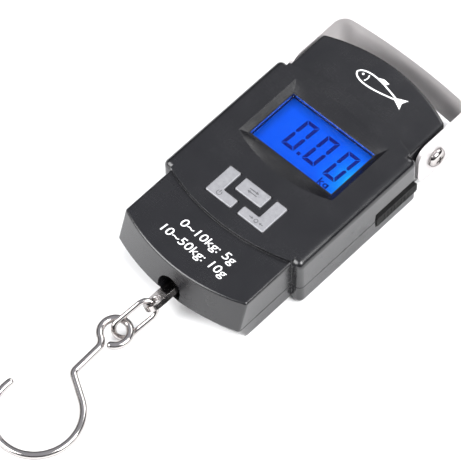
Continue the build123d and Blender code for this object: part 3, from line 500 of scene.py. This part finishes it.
POINT_X = -1.75
POINT_LEAN = 0.05
point = [(POINT_X + x, DIGIT_LOW_Y + y) for x, y in
         ((-0.6, 0.0), (0.6, 0.0), (0.6 + POINT_LEAN, 1.2), (-0.6 + POINT_LEAN, 1.2))]
UNIT_X, UNIT_Y = 10.2, 4.5
unit = [[(UNIT_X + x, UNIT_Y + y) for x, y in shape] for shape in (
    bar((0.0, 0.0), (0.0, 2.9), 0.45), bar((0.3, 1.3), (1.4, 2.1), 0.42), bar((0.5, 1.2), (1.5, 0.0), 0.42),
    arc((2.7, 1.2), 0.45, 0.87, 0, 180, 10), arc((2.7, 1.2), 0.45, 0.87, 180, 360, 10),
    bar((3.5, 2.1), (3.5, -0.3), 0.42), bar((3.5, -0.6), (2.1, -0.8), 0.42))]
segment_layer = (glass_top + 0.02 * MM, glass_top + 0.10 * MM)     # between the glass and the window
for name, shapes in (("lcd_digits", [s for x in DIGIT_X for s in zero(x)] + [point]), ("lcd_unit", unit)):
    plate(name, shapes, *segment_layer, segment_tone, "display_blue", "housing")

# Printed marks on the black shell: a plain fish over the display, and the two ranges under the keys
TOP_FACE_DROP, LOW_FACE_DROP = 0.9, 1.3             # the end sections' faces, in mm below the display face
INK = (-0.004 * MM, 0.022 * MM)                     # low and high side of the ink, from the face
top_face, low_face = shell_top - TOP_FACE_DROP * MM, shell_top - LOW_FACE_DROP * MM
FISH_Y, FISH_HALF, FISH_DEEP = 44.2, 8.2, 2.3       # middle line, half length, half depth in mm
FISH_LINE = 0.55                                    # width of the outline


def fish_side(sign, steps=28):
    """Points along the back or the belly from the nose to the root of the tail."""
    points = []
    for i in range(steps + 1):
        t = i / steps
        x = -FISH_HALF + 2 * FISH_HALF * t
        # deepest ahead of the middle, slim where the tail begins
        y = FISH_DEEP * (math.sin(math.pi * t ** 0.62) ** 0.9) * (1 - 0.12 * t) + 0.28 * t
        points.append((x, FISH_Y + sign * y))
    return points


def outline_band(points, width):
    """A stroke that follows the points, as one closed outline."""
    left, right = [], []
    for i, p in enumerate(points):
        a, b = Vector(points[max(i - 1, 0)]), Vector(points[min(i + 1, len(points) - 1)])
        run = (b - a).normalized() * width / 2
        left.append((p[0] - run.y, p[1] + run.x))
        right.append((p[0] + run.y, p[1] - run.x))
    return left + right[::-1]


tail = [(FISH_HALF + x, FISH_Y + y)
        for x, y in ((-0.2, 0.32), (3.9, 2.3), (2.9, 0.0), (3.9, -2.3), (-0.2, -0.32))]
fin = [(x, FISH_Y + y) for x, y in ((-1.8, 2.35), (0.6, 3.4), (3.0, 3.1), (2.4, 2.0))]
gill = outline_band([(-4.6 + 0.9 * math.cos(a), FISH_Y + 1.5 * math.sin(a))
                     for a in [math.radians(-60 + 10 * i) for i in range(13)]], 0.42)
eye = disc((-6.0, FISH_Y + 0.45), 0.42)
body_sides = [outline_band(fish_side(sign), FISH_LINE) for sign in (1, -1)]
plate("fish_mark", [*body_sides, tail, fin, gill, eye],
      top_face + INK[0], top_face + INK[1], ink, "tape_white", "housing")
for name, text, middle, width in (("range_low_mark", "0~10kg: 5g", (1.4, -36.4), 23.0),
                                  ("range_high_mark", "10~50kg: 10g", (0.0, -41.9), 27.4)):
    words(name, text, middle, 3.0, low_face, lean=0.1, bold=0.005, width=width)

# Small dark symbols on the keys: power, unit change and tare
key_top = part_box("left_button")[1].z
dark_print = plain("key_print", (0.06, 0.06, 0.065), (0.10, 0.10, 0.105), 2500, 0.5)
KEY_INK = (key_top - 0.004 * MM, key_top + 0.018 * MM)


def moved(shape, centre, flip=1, flop=1):
    """An outline's points turned round by the signs and moved to the centre."""
    return [(centre[0] + flip * x, centre[1] + flop * y) for x, y in shape]


POWER, SWAP, TARE = (-8.0, -21.2), (0.0, -13.9), (8.0, -21.2)       # middles of the three symbols
power = [arc(POWER, 0.75, 1.0, 125, 415, 24),
         bar((POWER[0], POWER[1] + 0.1), (POWER[0], POWER[1] + 1.25), 0.26)]
long_arrow = ((-1.9, 0.35), (0.9, 0.35), (0.9, -0.05), (2.0, 0.55), (0.9, 1.15), (0.9, 0.7), (-1.9, 0.7))
short_arrow = ((1.2, 0.0), (2.0, 0.5), (2.0, 0.14), (2.9, 0.14), (2.9, -0.14), (2.0, -0.14), (2.0, -0.5))
swap = [moved(long_arrow, SWAP, s, s) for s in (1, -1)]
tare = [arc(TARE, 0.5, 0.78, 0, 180, 12), arc(TARE, 0.5, 0.78, 180, 360, 12),
        *[moved(short_arrow, TARE, s) for s in (1, -1)]]
for name, shapes, body in (("power_mark", power, "left_key"), ("swap_mark", swap, "centre_key"),
                           ("tare_mark", tare, "right_key")):
    plate(name, shapes, *KEY_INK, dark_print, "switch_black", body)

# ---------------------------------------------------------------- table, light and camera
table = Finish("pale_table", Specular_IOR_Level=0.2)
table.put("Base Color", table.ramp(table.noise(6.0, 3.0), (0.3, (0.93, 0.93, 0.93)),
                                   (0.7, (0.95, 0.95, 0.95))))
table.put("Roughness", table.remap(table.noise(40.0, 2.0), 0.3, 0.7, 0.6, 0.75))
FLOOR_HALF, FLOOR_Z = 3.0, -0.0001
floor_corners = [(x * FLOOR_HALF, y * FLOOR_HALF, FLOOR_Z) for x, y in ((-1, -1), (1, -1), (1, 1), (-1, 1))]
floor_data = bpy.data.meshes.new("floor")
floor_data.from_pydata(floor_corners, [], [(0, 1, 2, 3)])
floor_data.materials.append(table.material)
floor = bpy.data.objects.new("floor", floor_data)
bpy.context.scene.collection.objects.link(floor)

world = bpy.data.worlds.new("studio")
bpy.context.scene.world = world
world.use_nodes = True
sky = world.node_tree
sky.nodes.clear()
sky_out = sky.nodes.new("ShaderNodeOutputWorld")
sky_light = sky.nodes.new("ShaderNodeBackground")
sky_ramp = sky.nodes.new("ShaderNodeValToRGB")
sky_place = sky.nodes.new("ShaderNodeTexCoord")
sky_split = sky.nodes.new("ShaderNodeSeparateXYZ")
for source, target in ((sky_place.outputs["Generated"], sky_split.inputs[0]),
                       (sky_split.outputs["Z"], sky_ramp.inputs["Fac"]),
                       (sky_ramp.outputs["Color"], sky_light.inputs["Color"]),
                       (sky_light.outputs[0], sky_out.inputs[0])):
    sky.links.new(source, target)
# dark at the horizon, light overhead
horizon, overhead = sky_ramp.color_ramp.elements
horizon.position, horizon.color = 0.0, (0.02, 0.02, 0.022, 1)
overhead.position, overhead.color = 0.72, (0.58, 0.59, 0.64, 1)
for position, grey in ((0.30, 0.03), (0.52, 0.22)):
    sky_ramp.color_ramp.elements.new(position).color = (grey, grey, 1.03 * grey, 1)
sky_light.inputs["Strength"].default_value = 0.9

centre = (cad_low + cad_high) / 2


def toward(azimuth, elevation):
    """Unit vector from the object, with azimuth 0 on the hook's side and 90 on the right."""
    a, e = math.radians(azimuth), math.radians(elevation)
    return Vector((math.sin(a) * math.cos(e), -math.cos(a) * math.cos(e), math.sin(e)))


def softbox(name, azimuth, elevation, away, size, power):
    """A square area lamp, aimed at the middle of the object."""
    back = toward(azimuth, elevation)
    data = bpy.data.lights.new(name, "AREA")
    data.shape, data.size, data.energy = "SQUARE", size, power
    lamp = bpy.data.objects.new(name, data)
    lamp.location = centre + back * away
    lamp.rotation_euler = (-back).to_track_quat("-Z", "Y").to_euler()
    bpy.context.scene.collection.objects.link(lamp)


softbox("key_light", 95, 50, 1.2, 0.7, 21.0)
softbox("fill_light", 330, 35, 1.3, 0.9, 24.0)
softbox("rim_light", 180, 40, 1.3, 0.8, 8.0)

AZIMUTH, ELEVATION, ROLL = 44.93, 56.87, -1.875     # degrees
DISTANCE, LENS = 1.1532, 285.62                     # metres and millimetres
AIM = Vector((0.0044, -0.0291, shell_top))
back = toward(AZIMUTH, ELEVATION)
camera_data = bpy.data.cameras.new("camera")
camera_data.lens, camera_data.sensor_width = LENS, 36.0
camera = bpy.data.objects.new("camera", camera_data)
bpy.context.scene.collection.objects.link(camera)
camera.location = AIM + back * DISTANCE
camera.rotation_euler = ((-back).to_track_quat("-Z", "Y").to_matrix().to_4x4()
                         @ Matrix.Rotation(math.radians(ROLL), 4, "Z")).to_euler()
bpy.context.scene.camera = camera
bpy.context.scene.view_settings.view_transform = "Standard"
